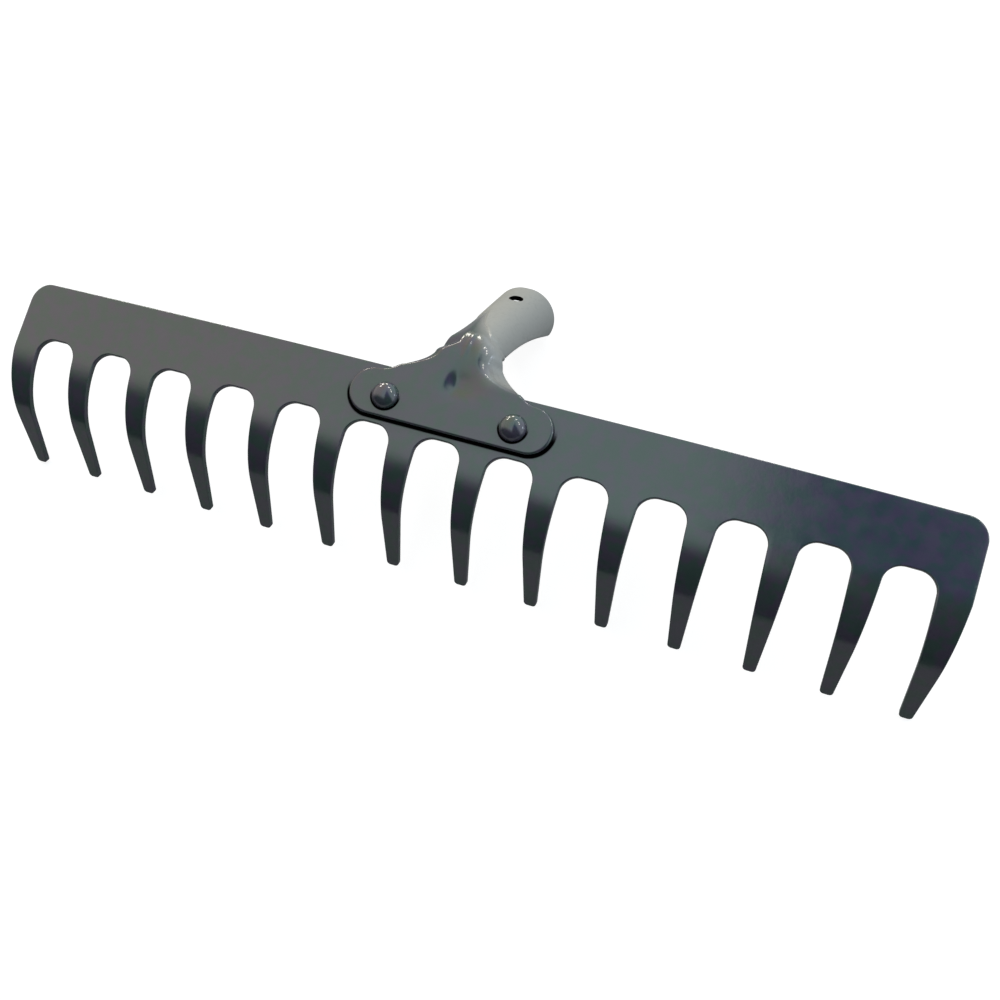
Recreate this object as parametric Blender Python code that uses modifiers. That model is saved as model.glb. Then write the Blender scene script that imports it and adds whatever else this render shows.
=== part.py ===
"""Garden rake head: a pressed fourteen-tooth blade riveted to a folded sheet handle socket."""

import math

import bmesh
import bpy
from mathutils import Matrix, Vector

# Driving dimensions, in metres and degrees.
# The head is modelled with X along the blade, Y away from its front face and Z up from the teeth,
# and is then laid down, front face up, on its end teeth and its socket.

# Toothed blade
TOOTH_COUNT = 14
TOOTH_PITCH = 0.028
GAP_WIDTH = 0.018
GAP_CORNER_RADIUS = 0.0068
END_TOOTH_ROOT = 0.0115
TOOTH_TIP_WIDTH = 0.0047
TOOTH_TIP_RADIUS = 0.0014
TOOTH_LENGTH = 0.059
TOOTH_STRAIGHT = 0.003
TOOTH_BEND_RADIUS = 0.0375
TOOTH_BEND_DEG = 51.0
WEB_HEIGHT = 0.022
WEB_CORNER_RADIUS = 0.008
BLADE_THICKNESS = 0.0024
SWEEP_RADIUS = 1.7
SEAT_LENGTH = 0.086

# Foot plate of the handle socket, flat against the blade's front
SHEET_THICKNESS = 0.0018
PLATE_LENGTH = 0.0792
PLATE_HEIGHT = 0.0176
PLATE_ABOVE_GAPS = 0.0026

# Neck that rises from the plate and folds back into the tube
NECK_ABOVE_BLADE = 0.0006
NECK_STRAIGHT = 0.0091
NECK_BEND_RADIUS = 0.016
SOCKET_RISE_DEG = 38.4
SOCKET_LENGTH = 0.0528
NECK_BASE_HALF_WIDTH = 0.0246
NECK_HALF_WIDTH = 0.0138
NECK_FOLD_RADIUS = 0.003
NECK_FLANK = 0.004
NECK_FLARE_POWER = 1.2

# Tube that holds the handle, open along its underside
SOCKET_DIAMETER = 0.0254
SOCKET_THROAT_DIAMETER = 0.0224
SOCKET_WRAP_DEG = 119.0
THROAT_WRAP_DEG = 76.0
WRAP_POWER = 2.4
CROWN_FLAT = 0.0008
EDGE_FLAT = 0.001
NAIL_HOLE_DIAMETER = 0.0055
NAIL_HOLE_FROM_MOUTH = 0.0143

# Rivets
RIVET_FROM_PLATE_END = 0.0146
RIVET_ABOVE_PLATE_EDGE = 0.008
RIVET_SHANK_DIAMETER = 0.005
RIVET_HEAD_DIAMETER = 0.0102
RIVET_HEAD_HEIGHT = 0.0038
RIVET_TAIL_DIAMETER = 0.0084
RIVET_TAIL_HEIGHT = 0.0018
RIVET_CLEARANCE = 0.0001

# Mesh fineness
CORNER_STEPS = 5
BEND_STEPS = 9
FLAT_STEPS = 3
FOLD_STEPS = 8
FLANK_STEPS = 2
NECK_STEPS = 15
TUBE_STEPS = 9
DOME_STEPS = 5
RIVET_STEPS = 24

# Turn, in radians, that sets a fold's length where the neck is still flat
FIRST_FOLD = 1.0

# Points closer than this are joined
MERGE_DISTANCE = 0.000005

# Search for the tilt at which the head lies still
STEEPEST_REST_DEG = 45.0
REST_HALVINGS = 40

COLLECTION_NAME = "garden_rake"

BLADE_HALF_LENGTH = (
    (TOOTH_COUNT / 2 - 1) * TOOTH_PITCH + GAP_WIDTH / 2 + END_TOOTH_ROOT
)
PLATE_TOP = PLATE_ABOVE_GAPS + PLATE_HEIGHT
RIVET_Z = PLATE_ABOVE_GAPS + RIVET_ABOVE_PLATE_EDGE
PLATE_MIDDLE = PLATE_ABOVE_GAPS + PLATE_HEIGHT / 2
NECK_BASE = WEB_HEIGHT + NECK_ABOVE_BLADE


def clear_scene():
    for scene_object in list(bpy.data.objects):
        bpy.data.objects.remove(scene_object, do_unlink=True)


def paint_material(name, colour, roughness):
    material = bpy.data.materials.new(name)
    material.use_nodes = True
    shader = material.node_tree.nodes["Principled BSDF"]
    shader.inputs["Base Color"].default_value = (*colour, 1.0)
    shader.inputs["Roughness"].default_value = roughness
    shader.inputs["Metallic"].default_value = 0.0
    return material


def new_collection(name):
    collection = bpy.data.collections.new(name)
    bpy.context.scene.collection.children.link(collection)
    return collection


def mesh_object(name, mesh_build, collection):
    mesh = bpy.data.meshes.new(name)
    mesh_build.to_mesh(mesh)
    mesh_build.free()
    made = bpy.data.objects.new(name, mesh)
    collection.objects.link(made)
    return made


def loft(mesh_build, rows):
    """Skin a list of equally long point rows with four-sided faces."""
    grid = [[mesh_build.verts.new(point) for point in row] for row in rows]
    for lower, upper in zip(grid, grid[1:]):
        for i in range(len(lower) - 1):
            mesh_build.faces.new((lower[i], lower[i + 1], upper[i + 1], upper[i]))


def weld(mesh_build):
    """Join the lofted patches at their shared edges and make their sides agree."""
    bmesh.ops.remove_doubles(
        mesh_build, verts=mesh_build.verts[:], dist=MERGE_DISTANCE
    )
    bmesh.ops.dissolve_degenerate(
        mesh_build, edges=mesh_build.edges[:], dist=MERGE_DISTANCE
    )
    bmesh.ops.recalc_face_normals(mesh_build, faces=mesh_build.faces[:])


def face_front(mesh_build):
    """Turn the open sheet so that its faces look towards -Y at the plate or web."""
    flat = max(mesh_build.faces, key=lambda face: face.calc_area())
    if flat.normal.y > 0:
        bmesh.ops.reverse_faces(mesh_build, faces=mesh_build.faces[:])


def thicken(sheet, thickness):
    """Give the open sheet its thickness, behind the modelled front surface."""
    solid = sheet.modifiers.new("thickness", "SOLIDIFY")
    solid.thickness = thickness
    solid.offset = -1.0
    solid.use_even_offset = True


def cylinder_cutter(name, diameter, depth, place, axis, collection):
    mesh_build = bmesh.new()
    bmesh.ops.create_cone(
        mesh_build,
        cap_ends=True,
        segments=RIVET_STEPS,
        radius1=diameter / 2,
        radius2=diameter / 2,
        depth=depth,
    )
    cutter = mesh_object(name, mesh_build, collection)
    cutter.location = place
    cutter.rotation_euler = axis.to_track_quat("Z", "Y").to_euler()
    cutter.display_type = "WIRE"
    cutter.hide_render = True
    return cutter


def cut(target, cutter):
    boolean = target.modifiers.new(cutter.name, "BOOLEAN")
    boolean.operation = "DIFFERENCE"
    boolean.solver = "EXACT"
    boolean.object = cutter


def sweep_back(x, y, z):
    """Wrap a point of the blade round the slight rearward sweep of its wings."""
    wing = abs(x) - SEAT_LENGTH / 2
    if wing <= 0:
        return Vector((x, y, z))
    turn = wing / SWEEP_RADIUS
    swept_x = SEAT_LENGTH / 2 + (SWEEP_RADIUS - y) * math.sin(turn)
    swept_y = SWEEP_RADIUS - (SWEEP_RADIUS - y) * math.cos(turn)
    return Vector((math.copysign(swept_x, x), swept_y, z))


def press_tooth(x, down):
    """Place a point of the flat blank, given below the gap tops, on the curled tooth."""
    bend = math.radians(TOOTH_BEND_DEG)
    turn = min(max((down - TOOTH_STRAIGHT) / TOOTH_BEND_RADIUS, 0.0), bend)
    straight = min(down, TOOTH_STRAIGHT)
    beyond = max(down - TOOTH_STRAIGHT - TOOTH_BEND_RADIUS * bend, 0.0)
    y = TOOTH_BEND_RADIUS * (1 - math.cos(turn)) + beyond * math.sin(turn)
    z = -straight - TOOTH_BEND_RADIUS * math.sin(turn) - beyond * math.cos(turn)
    return sweep_back(x, y, z)


def tooth_levels():
    """Distances below the gap tops at which a tooth has a row of points."""
    quarter = [math.pi / 2 * i / CORNER_STEPS for i in range(CORNER_STEPS + 1)]
    corner = [GAP_CORNER_RADIUS * (1 - math.cos(angle)) for angle in quarter]
    tip_start = TOOTH_LENGTH - TOOTH_TIP_RADIUS
    bend_end = TOOTH_STRAIGHT + TOOTH_BEND_RADIUS * math.radians(TOOTH_BEND_DEG)
    bend_end = min(max(bend_end, GAP_CORNER_RADIUS), tip_start)
    shank = [
        GAP_CORNER_RADIUS + (bend_end - GAP_CORNER_RADIUS) * i / BEND_STEPS
        for i in range(1, BEND_STEPS + 1)
    ]
    tip = [tip_start + TOOTH_TIP_RADIUS * math.sin(angle) for angle in quarter[::2]]
    return sorted(
        {round(level, 7) for level in corner + shank + tip + [TOOTH_LENGTH]}
    )


def tooth_side(down, root):
    """Half width of a tooth on one side, down from the gap tops."""
    if down < GAP_CORNER_RADIUS:
        rise = GAP_CORNER_RADIUS - down
        corner = math.sqrt(GAP_CORNER_RADIUS**2 - rise**2)
        return root + GAP_CORNER_RADIUS - corner
    share = (down - GAP_CORNER_RADIUS) / (TOOTH_LENGTH - GAP_CORNER_RADIUS)
    side = root + (TOOTH_TIP_WIDTH / 2 - root) * share
    into_tip = down - (TOOTH_LENGTH - TOOTH_TIP_RADIUS)
    if into_tip > 0:
        side -= TOOTH_TIP_RADIUS - math.sqrt(
            max(TOOTH_TIP_RADIUS**2 - into_tip**2, 0.0)
        )
    return side


def tooth_rows(number):
    """Rows of points down one tooth; an end tooth is wider on its outer side."""
    centre = (number - (TOOTH_COUNT - 1) / 2) * TOOTH_PITCH
    inner_root = (TOOTH_PITCH - GAP_WIDTH) / 2
    outer_root = END_TOOTH_ROOT - inner_root
    rows = []
    for down in tooth_levels():
        left = right = tooth_side(down, inner_root)
        outer = tooth_side(max(down, GAP_CORNER_RADIUS), outer_root)
        if number == 0:
            left = outer
        if number == TOOTH_COUNT - 1:
            right = outer
        rows.append(
            [press_tooth(centre - left, down), press_tooth(centre + right, down)]
        )
    return rows


def web_columns():
    """Upright columns of points across the web, between the end teeth."""
    root_half = (TOOTH_PITCH - GAP_WIDTH) / 2 + GAP_CORNER_RADIUS
    columns = []
    for number in range(TOOTH_COUNT):
        centre = (number - (TOOTH_COUNT - 1) / 2) * TOOTH_PITCH
        if number > 0:
            columns.append(web_column(centre - root_half))
        if number < TOOTH_COUNT - 1:
            columns.append(web_column(centre + root_half))
    return columns


def web_column(x):
    return [sweep_back(x, 0.0, 0.0), sweep_back(x, 0.0, WEB_HEIGHT)]


def web_end(side):
    """Outline of the web's end panel, with its rounded top corner."""
    root_half = (TOOTH_PITCH - GAP_WIDTH) / 2 + GAP_CORNER_RADIUS
    inner = (TOOTH_COUNT - 1) / 2 * TOOTH_PITCH - root_half
    outline = [(inner, WEB_HEIGHT), (inner, 0.0), (BLADE_HALF_LENGTH, 0.0)]
    for i in range(CORNER_STEPS + 1):
        angle = math.pi / 2 * i / CORNER_STEPS
        across = WEB_CORNER_RADIUS * (1 - math.cos(angle))
        drop = WEB_CORNER_RADIUS * (1 - math.sin(angle))
        outline.append((BLADE_HALF_LENGTH - across, WEB_HEIGHT - drop))
    return [sweep_back(side * x, 0.0, z) for x, z in outline]


def make_toothed_blade(material, collection, cutters):
    mesh_build = bmesh.new()
    loft(mesh_build, web_columns())
    for side in (-1, 1):
        mesh_build.faces.new([mesh_build.verts.new(p) for p in web_end(side)])
    for number in range(TOOTH_COUNT):
        loft(mesh_build, tooth_rows(number))
    weld(mesh_build)
    face_front(mesh_build)
    blade = mesh_object("toothed_blade", mesh_build, collection)
    blade.data.materials.append(material)
    thicken(blade, BLADE_THICKNESS)
    for cutter in cutters:
        cut(blade, cutter)
    return blade


def ease(value):
    """Smooth step from 0 to 1."""
    value = min(max(value, 0.0), 1.0)
    return value * value * (3 - 2 * value)


def blend(start, end, share):
    return start + (end - start) * share


def neck_length():
    return NECK_STRAIGHT + NECK_BEND_RADIUS * math.radians(90 - SOCKET_RISE_DEG)


def spine(way):
    """Point, direction and inward normal of the socket's top line, at a way along it."""
    bend = math.radians(90 - SOCKET_RISE_DEG)
    turn = min(max((way - NECK_STRAIGHT) / NECK_BEND_RADIUS, 0.0), bend)
    rise = min(way, NECK_STRAIGHT)
    beyond = max(way - neck_length(), 0.0)
    y = NECK_BEND_RADIUS * (1 - math.cos(turn)) + beyond * math.sin(turn)
    z = rise + NECK_BEND_RADIUS * math.sin(turn) + beyond * math.cos(turn)
    point = Vector((0.0, y - SHEET_THICKNESS, z + NECK_BASE))
    along = Vector((0.0, math.sin(turn), math.cos(turn)))
    inward = Vector((0.0, math.cos(turn), -math.sin(turn)))
    return point, along, inward


def section_sizes(way):
    """Half flat, fold length, fold angle and flank of the sheet at a way along the neck."""
    along_tube = max((way - neck_length()) / SOCKET_LENGTH, 0.0)
    folding = ease(way / NECK_STRAIGHT)
    rounding = ease(way / neck_length())
    throat, mouth = SOCKET_THROAT_DIAMETER / 2, SOCKET_DIAMETER / 2
    tube_radius = blend(throat, mouth, ease(along_tube))
    wrap = blend(THROAT_WRAP_DEG, SOCKET_WRAP_DEG, along_tube**WRAP_POWER)
    angle = math.radians(blend(90.0 * folding, wrap, rounding))
    radius = blend(NECK_FOLD_RADIUS, tube_radius - CROWN_FLAT, rounding)
    fold = radius * max(angle, FIRST_FOLD)
    flank = blend(NECK_FLANK, EDGE_FLAT, rounding)
    narrowing = 1 - max(1 - way / NECK_STRAIGHT, 0.0) ** NECK_FLARE_POWER
    half_width = blend(NECK_BASE_HALF_WIDTH, NECK_HALF_WIDTH, narrowing)
    half_width = blend(half_width, tube_radius, rounding)
    flat = half_width - section_reach(fold, angle, flank)
    return max(flat, CROWN_FLAT), fold, angle, flank


def section_reach(fold, angle, flank):
    """How far the fold and the flank reach sideways from the flat middle."""
    if angle == 0:
        return fold + flank
    radius = fold / angle
    return radius * math.sin(min(angle, math.pi / 2)) + flank * max(math.cos(angle), 0)


def half_section(way):
    """Half the sheet's outer line at a way along the neck, as (across, inward) pairs."""
    flat, fold, angle, flank = section_sizes(way)
    points = [(flat * i / FLAT_STEPS, 0.0) for i in range(FLAT_STEPS + 1)]
    across, inward = flat, 0.0
    for i in range(FOLD_STEPS):
        turn = angle * (i + 0.5) / FOLD_STEPS
        across += fold / FOLD_STEPS * math.cos(turn)
        inward += fold / FOLD_STEPS * math.sin(turn)
        points.append((across, inward))
    for i in range(FLANK_STEPS):
        across += flank / FLANK_STEPS * math.cos(angle)
        inward += flank / FLANK_STEPS * math.sin(angle)
        points.append((across, inward))
    return points


def neck_row(way):
    """One row of points across the neck or tube, from its left edge to its right."""
    point, along, inward = spine(way)
    half = half_section(way)
    row = [point + Vector((-a, 0.0, 0.0)) + inward * d for a, d in reversed(half[1:])]
    row += [point + Vector((a, 0.0, 0.0)) + inward * d for a, d in half]
    return row


def plate_outline():
    """Outline of the foot plate; its top edge ends in the first row of the neck."""
    radius = PLATE_HEIGHT / 2
    end_centre = PLATE_LENGTH / 2 - radius
    y = -SHEET_THICKNESS
    right = []
    for i in range(2 * CORNER_STEPS + 1):
        angle = -math.pi / 2 + math.pi * i / (2 * CORNER_STEPS)
        x = end_centre + radius * math.cos(angle)
        right.append((x, y, PLATE_MIDDLE + radius * math.sin(angle)))
    for i in range(1, CORNER_STEPS):
        share = i / CORNER_STEPS
        x = blend(end_centre, NECK_BASE_HALF_WIDTH, share)
        right.append((x, y, blend(PLATE_TOP, NECK_BASE, share**2)))
    left = [(-x, y, z) for x, y, z in reversed(right)]
    return left + right + list(reversed(neck_row(0.0)))


def make_handle_socket(material, collection, cutters):
    mesh_build = bmesh.new()
    total = neck_length() + SOCKET_LENGTH
    ways = [neck_length() * i / NECK_STEPS for i in range(NECK_STEPS)]
    ways += [
        blend(neck_length(), total, i / TUBE_STEPS) for i in range(TUBE_STEPS + 1)
    ]
    loft(mesh_build, [neck_row(way) for way in ways])
    mesh_build.faces.new([mesh_build.verts.new(p) for p in plate_outline()])
    weld(mesh_build)
    face_front(mesh_build)
    socket = mesh_object("handle_socket", mesh_build, collection)
    socket.data.materials.append(material)
    thicken(socket, SHEET_THICKNESS)
    for cutter in cutters:
        cut(socket, cutter)
    return socket


def rivet_profile():
    """Half section of a rivet from the crown of its head to the crown of its tail."""
    grip = SHEET_THICKNESS + BLADE_THICKNESS
    points = dome(RIVET_HEAD_DIAMETER / 2, RIVET_HEAD_HEIGHT, 0.0, 1)
    points.append((RIVET_SHANK_DIAMETER / 2, 0.0))
    points.append((RIVET_SHANK_DIAMETER / 2, -grip))
    points += reversed(dome(RIVET_TAIL_DIAMETER / 2, RIVET_TAIL_HEIGHT, -grip, -1))
    return points


def dome(radius, height, base, direction):
    """Points from a dome's crown to its rim, as (distance from axis, along axis)."""
    points = []
    for i in range(DOME_STEPS + 1):
        angle = math.pi / 2 * i / DOME_STEPS
        along = base + direction * height * math.cos(angle)
        points.append((radius * math.sin(angle), along))
    return points


def make_rivet(name, x, material, collection):
    mesh_build = bmesh.new()
    points = rivet_profile()
    verts = [mesh_build.verts.new((r, 0.0, along)) for r, along in points]
    for start, end in zip(verts, verts[1:]):
        mesh_build.edges.new((start, end))
    rivet = mesh_object(name, mesh_build, collection)
    rivet.data.materials.append(material)
    screw = rivet.modifiers.new("turned", "SCREW")
    screw.axis = "Z"
    screw.steps = RIVET_STEPS
    screw.render_steps = RIVET_STEPS
    screw.use_merge_vertices = True
    screw.merge_threshold = 0.00001
    rivet.location = (x, -SHEET_THICKNESS, RIVET_Z)
    rivet.rotation_euler = (math.pi / 2, 0.0, 0.0)
    return rivet


def modelled_points(pieces):
    """Corner points of the finished pieces, as they are modelled."""
    bpy.context.view_layer.update()
    graph = bpy.context.evaluated_depsgraph_get()
    points = []
    for piece in pieces:
        shown = piece.evaluated_get(graph)
        mesh = shown.to_mesh()
        points += [shown.matrix_world @ vertex.co for vertex in mesh.vertices]
        shown.to_mesh_clear()
    return points


def lowest(points, tilt):
    """Height of the lowest point once the face-up head is tilted towards its teeth."""
    return min(p.z * math.sin(tilt) - p.y * math.cos(tilt) for p in points)


def resting_tilt(blade_points, socket_points):
    """Tilt at which the teeth and the socket's mouth touch the same level surface."""
    low, high = 0.0, math.radians(STEEPEST_REST_DEG)
    for _ in range(REST_HALVINGS):
        middle = (low + high) / 2
        if lowest(socket_points, middle) < lowest(blade_points, middle):
            low = middle
        else:
            high = middle
    return (low + high) / 2


def lay_down(blade, socket, carried):
    """Parent everything to an empty that rests the head on a level surface at Z = 0."""
    blade_points = modelled_points([blade])
    socket_points = modelled_points([socket])
    tilt = resting_tilt(blade_points, socket_points)
    turn = Matrix.Rotation(tilt - math.pi / 2, 3, "X")
    turned = [turn @ point for point in blade_points + socket_points]
    nearest = min(point.y for point in turned)
    farthest = max(point.y for point in turned)
    rest = bpy.data.objects.new("resting_surface", None)
    rest.rotation_euler = turn.to_euler()
    rest.location = (0.0, -(nearest + farthest) / 2, -min(p.z for p in turned))
    bpy.context.scene.collection.objects.link(rest)
    for moved in carried:
        moved.parent = rest


def main():
    clear_scene()
    rake = new_collection(COLLECTION_NAME)
    tools = new_collection("cutters")

    blade_paint = paint_material("blade_paint", (0.115, 0.125, 0.13), 0.38)
    socket_paint = paint_material("socket_paint", (0.19, 0.2, 0.2), 0.36)
    rivet_paint = paint_material("rivet_paint", (0.11, 0.12, 0.14), 0.32)

    hole = RIVET_SHANK_DIAMETER + 2 * RIVET_CLEARANCE
    rivet_x = PLATE_LENGTH / 2 - RIVET_FROM_PLATE_END
    rivet_places = {"rivet_left": -rivet_x, "rivet_right": rivet_x}
    rivet_cutters = []
    for name, x in rivet_places.items():
        place = Vector((x, 0.0, RIVET_Z))
        depth = 4 * (SHEET_THICKNESS + BLADE_THICKNESS)
        rivet_cutters.append(
            cylinder_cutter(name + "_hole", hole, depth, place, Vector((0, 1, 0)), tools)
        )

    nail_way = neck_length() + SOCKET_LENGTH - NAIL_HOLE_FROM_MOUTH
    place, along, inward = spine(nail_way)
    nail_cutter = cylinder_cutter(
        "nail_hole", NAIL_HOLE_DIAMETER, SOCKET_DIAMETER / 2, place, inward, tools
    )

    blade = make_toothed_blade(blade_paint, rake, rivet_cutters)
    socket = make_handle_socket(socket_paint, rake, rivet_cutters + [nail_cutter])
    rivets = []
    for name, x in rivet_places.items():
        rivets.append(make_rivet(name, x, rivet_paint, rake))
    lay_down(blade, socket, [blade, socket, *rivets, *rivet_cutters, nail_cutter])


main()
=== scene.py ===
"""Looks of the garden rake head: enamelled sheet steel, lit on a plain white surface."""

import math

import bmesh
import bpy
from mathutils import Matrix, Vector


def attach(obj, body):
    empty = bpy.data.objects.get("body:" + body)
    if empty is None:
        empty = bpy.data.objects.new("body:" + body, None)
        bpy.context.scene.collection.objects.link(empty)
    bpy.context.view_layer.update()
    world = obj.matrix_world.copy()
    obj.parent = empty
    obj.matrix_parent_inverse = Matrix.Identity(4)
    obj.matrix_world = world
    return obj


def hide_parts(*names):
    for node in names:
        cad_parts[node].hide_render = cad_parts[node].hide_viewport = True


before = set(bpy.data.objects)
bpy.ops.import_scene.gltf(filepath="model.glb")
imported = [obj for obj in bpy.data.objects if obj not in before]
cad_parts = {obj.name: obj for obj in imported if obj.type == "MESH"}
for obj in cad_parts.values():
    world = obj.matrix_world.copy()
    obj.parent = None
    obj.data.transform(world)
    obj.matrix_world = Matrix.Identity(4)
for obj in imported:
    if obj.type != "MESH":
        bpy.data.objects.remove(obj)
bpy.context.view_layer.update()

# Sizes of the head, in metres and degrees, with X along the blade, Y away from its front face
# and Z up from the teeth

# Toothed blade
TOOTH_COUNT = 14
TOOTH_PITCH = 0.028
GAP_WIDTH = 0.018
GAP_CORNER_RADIUS = 0.0068
END_TOOTH_ROOT = 0.0115
TOOTH_TIP_WIDTH = 0.0047
TOOTH_TIP_RADIUS = 0.0014
TOOTH_LENGTH = 0.059
TOOTH_STRAIGHT = 0.003
TOOTH_BEND_RADIUS = 0.0375
TOOTH_BEND_DEG = 51.0
WEB_HEIGHT = 0.022
WEB_CORNER_RADIUS = 0.008
BLADE_THICKNESS = 0.0024
SWEEP_RADIUS = 1.7
SEAT_LENGTH = 0.086

# Handle socket
SHEET_THICKNESS = 0.0018
PLATE_LENGTH = 0.0792
PLATE_HEIGHT = 0.0176
PLATE_ABOVE_GAPS = 0.0026
NECK_ABOVE_BLADE = 0.0006
NECK_STRAIGHT = 0.0091
NECK_BEND_RADIUS = 0.016
SOCKET_RISE_DEG = 38.4
SOCKET_LENGTH = 0.0528
NECK_BASE_HALF_WIDTH = 0.0246
NECK_HALF_WIDTH = 0.0138
NECK_FOLD_RADIUS = 0.003
NECK_FLANK = 0.004
NECK_FLARE_POWER = 1.2
SOCKET_DIAMETER = 0.0254
SOCKET_THROAT_DIAMETER = 0.0224
SOCKET_WRAP_DEG = 119.0
THROAT_WRAP_DEG = 76.0
WRAP_POWER = 2.4
CROWN_FLAT = 0.0008
EDGE_FLAT = 0.001
NAIL_HOLE_DIAMETER = 0.0055
NAIL_HOLE_FROM_MOUTH = 0.0143

# Ridges pressed into the neck, left (-1) and right (1) of its crown: the share of the half width
# inside them and their turn, each at the plate, where the neck begins to bend and at the tube,
# then the share of the bend over which they close in, and their roundness
RIDGE_SHARE = {-1: (0.97, 0.70, 0.27), 1: (0.80, 0.27, 0.38)}
RIDGE_TURN_DEG = {-1: (0.0, 41.0, 28.0), 1: (0.0, 52.0, 24.0)}
RIDGE_CLOSED = {-1: 0.45, 1: 0.8}
RIDGE_RADIUS = {-1: 0.0026, 1: 0.0068}
RIDGE_SPREAD_POWER = 2.0
RIDGE_TURN_POWER = 2.2

# Low fold left of the crown: its place, height, half width, the reach of the sunken sheet beside
# it, and the distances along the neck between which it rises and dies out
FOLD_FROM_CROWN = 0.0008
FOLD_HEIGHT = 0.00025
FOLD_HALF_WIDTH = 0.0011
FOLD_SUNK_REACH = 0.0045
FOLD_RISES = (0.007, 0.011)
FOLD_DIES = (0.016, 0.026)

# Crease at which the ridged neck meets the round tube, slanting across the crown
CREASE_FROM_BASE = 0.029
CREASE_SLANT = 1.55
CREASE_CURL = 300.0
CREASE_FIRST = 0.021
CREASE_LAST = 0.046
CREASE_PINCH = 0.0004
CREASE_LIP = 0.002
NOTCH_DEPTH = 0.0014
NOTCH_HALF_WIDTH = 0.0009

# Dent at the foot of the neck's crown: place across and up, depth, reach left, right, down and up,
# and how far above the neck's base it is still felt
DENT_PLACE = (-0.0002, 0.0208)
DENT_DEPTH = 0.0015
DENT_REACH = (0.0036, 0.0080, 0.0036, 0.0060)
DENT_FADE = 0.02

# Rivets
RIVET_FROM_PLATE_END = 0.0146
RIVET_ABOVE_PLATE_EDGE = 0.008
RIVET_SHANK_DIAMETER = 0.005
RIVET_HEAD_DIAMETER = 0.0102
RIVET_HEAD_HEIGHT = 0.0038
RIVET_TAIL_DIAMETER = 0.0084
RIVET_TAIL_HEIGHT = 0.0018

# How the head lies: the tilt of its blade and the place of the gap tops' middle
REST_TURN_DEG = -80.1636
REST_PLACE = (0.0, -0.021691, 0.045678)

# Paint-rounded edges, fineness of the curves and small clearances
BLADE_EDGE_ROUND = 0.0004
SHEET_EDGE_ROUND = 0.0008
ROUND_STEPS = 3
CORNER_STEPS = 12
TIP_STEPS = 6
BEND_CUTS = 34
SWEEP_CUT_SPACING = 0.008
SECTION_STEPS = 64
NECK_STEPS = 64
TUBE_STEPS = 56
SLOPE_STEP = 0.0001
MOUTH_SPARE = 0.00005
RIVET_HEAD_SPARE = 0.00003
SHARP_EDGE_DEG = 60.0
FLAT_FACE_WEIGHT = 80
RIVET_STEPS = 64
NAIL_HOLE_STEPS = 32
FIRST_FOLD = 1.0
FLATTEST_FOLD = 0.001
CUT_TOLERANCE = 0.0000001

# Camera
CAMERA_PLACE = (0.14343, -0.159947, 0.441773)
CAMERA_TURN_DEG = (20.9566, 9.6396, 19.5178)
LENS_MM = 44.24
SENSOR_MM = 36.0

# Floor: its own colour, the white that the camera sees it by, the share of that white which gloss
# mirrors, and the places across and back over which the larger share at the right sets in
FLOOR_HALF_SIZE = 3.0
FLOOR_ALBEDO = 0.28
FLOOR_ROUGHNESS = 0.8
FLOOR_GLOW = 0.86
FLOOR_MIRRORED = 0.06
FLOOR_MIRRORED_RIGHT = 0.5
FLOOR_RIGHT = (0.15, 0.5)
FLOOR_BACK = (-0.15, 0.0)

# Room: its colours, then the parts of a unit direction, right for X and back for Y, over which one
# gives way to the next
SOFT_LIGHT_LEFT = (1.04, 1.00, 0.89)
SOFT_LIGHT_RIGHT = (0.89, 1.12, 1.12)
RIGHT_COLOUR = (0.0, 0.03, 0.28)
FRONT_COLOUR = (0.02, 0.02, 0.03)
BEHIND_LEFT_COLOUR = (1.0, 0.9, 0.68)
BEHIND_RIGHT_COLOUR = (0.95, 1.1, 1.2)
FRONT_TO_RIGHT = (-0.4, 0.1)
SOFT_LEFT_TO_RIGHT = (-0.55, -0.2)
SOFT_ENDS_RIGHT = (0.12, -0.07)
SOFT_ENDS_FRONT = (-0.74, -0.37)
SOFT_SLANT = 0.4
BEHIND_LEFT_TO_RIGHT = (-0.45, 0.0)
BEHIND_BEGINS = (0.17, 0.6)
BEHIND_SLANT = 0.8

# Bright panes: direction in degrees from straight behind to the right, height, watts, colour
PANE_AIM = (0.0, 0.0, 0.04)
PANE_DISTANCE = 1.2
PANE_SIZE = (0.16, 0.16)
WARM_PANE = (1.0, 0.96, 0.88)
COOL_PANE = (0.75, 0.85, 1.0)
PANES = (
    (-50.0, 0.62, 1.5, WARM_PANE),
    (-38.0, 0.30, 1.5, WARM_PANE),
    (-20.0, 0.30, 1.2, WARM_PANE),
    (3.0, 1.08, 1.5, WARM_PANE),
    (32.0, 1.24, 0.9, WARM_PANE),
    (48.0, 1.36, 1.3, WARM_PANE),
    (72.0, 0.40, 0.5, COOL_PANE),
)

# Enamel: colours, roughness, how far its tone and roughness vary, and its faint blotches
BLADE_ENAMEL = (0.049, 0.057, 0.068)
SOCKET_ENAMEL = (0.051, 0.057, 0.066)
RIVET_ENAMEL = (0.043, 0.052, 0.070)
SHEET_ROUGHNESS = 0.14
RIVET_ROUGHNESS = 0.09
DARKER = 0.86
LIGHTER = 1.12
PATCH_WEIGHT = 0.5
MOTTLE_WEIGHT = 0.3
SMOOTHER = 0.03
ROUGHER = 0.05
GREENISH = (0.034, 0.072, 0.052)
PURPLISH = (0.072, 0.052, 0.086)
TINT_SHARE = 0.6

# Uneven surface of the enamel
BUMP_STRENGTH = 0.2
BUMP_DISTANCE = 0.0003
PEEL_SHARE = 0.25

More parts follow.
